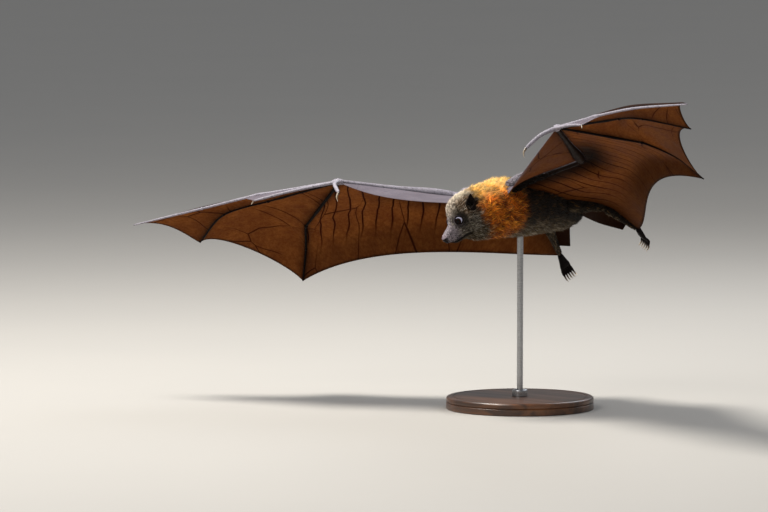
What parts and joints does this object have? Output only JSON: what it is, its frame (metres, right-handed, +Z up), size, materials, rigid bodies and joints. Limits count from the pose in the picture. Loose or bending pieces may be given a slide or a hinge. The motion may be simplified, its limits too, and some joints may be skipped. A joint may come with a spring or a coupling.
{
  "type": "flying fox bat",
  "caption": "Life-size flying fox bat in gliding flight, wings spread and head turned, held over a round base by one upright rod.",
  "frame": {"origin": "centre of the base's underside", "axes": "+Z up from the floor, the nose points to -Y and the left wing to +X"},
  "size_m": [0.9343, 0.3896, 0.4226],
  "materials": {
    "coat_face": "short silver-grey fur, paler on the crown, thin over the grey muzzle",
    "coat_mantle": "long golden to deep orange fur in loose tufts",
    "coat_trunk": "dense dark grey-brown fur with paler tips on the belly",
    "wing_arm_skin": "smooth pale grey skin over bone, dark underneath",
    "bare_skin": "wrinkled dark brown to black skin",
    "membrane": "thin brown flight membrane, light comes through it, with darker vessels and fibres",
    "claw": "translucent horn, darker at the root",
    "eye": "wet dark brown eye",
    "stand_wood": "dark stained wood, satin varnish",
    "stand_steel": "satin steel rod and collar"
  },
  "bodies": {
    "root": {"head": "coat_face", "neck": "coat_mantle", "trunk": "coat_trunk", "eye_left": "eye", "eye_right": "eye", "ear_left": "bare_skin", "ear_right": "bare_skin", "upper_arm_left": "wing_arm_skin", "upper_arm_right": "wing_arm_skin", "forearm_left": "wing_arm_skin", "forearm_right": "wing_arm_skin", "hand_left": "wing_arm_skin", "hand_right": "wing_arm_skin", "thumb_left": "wing_arm_skin", "thumb_right": "wing_arm_skin", "thumb_claw_left": "claw", "thumb_claw_right": "claw", "finger_2_left": "wing_arm_skin", "finger_2_right": "wing_arm_skin", "finger_2_claw_left": "claw", "finger_2_claw_right": "claw", "finger_3_left": "wing_arm_skin", "finger_3_right": "wing_arm_skin", "finger_4_left": "bare_skin", "finger_4_right": "bare_skin", "finger_5_left": "bare_skin", "finger_5_right": "bare_skin", "thigh_left": "coat_trunk", "thigh_right": "coat_trunk", "shin_left": "bare_skin", "shin_right": "bare_skin", "foot_left": "bare_skin", "foot_right": "bare_skin", "toe_claw_1_left": "claw", "toe_claw_1_right": "claw", "toe_claw_2_left": "claw", "toe_claw_2_right": "claw", "toe_claw_3_left": "claw", "toe_claw_3_right": "claw", "toe_claw_4_left": "claw", "toe_claw_4_right": "claw", "toe_claw_5_left": "claw", "toe_claw_5_right": "claw", "wing_front_left": "membrane", "wing_front_right": "membrane", "wing_lead_left": "membrane", "wing_lead_right": "membrane", "wing_tip_left": "membrane", "wing_tip_right": "membrane", "wing_hand_left": "membrane", "wing_hand_right": "membrane", "wing_arm_left": "membrane", "wing_arm_right": "membrane", "tail_skin_left": "membrane", "tail_skin_right": "membrane", "stand_base": "stand_wood", "stand_collar": "stand_steel", "stand_rod": "stand_steel"}
  },
  "joints": []
}
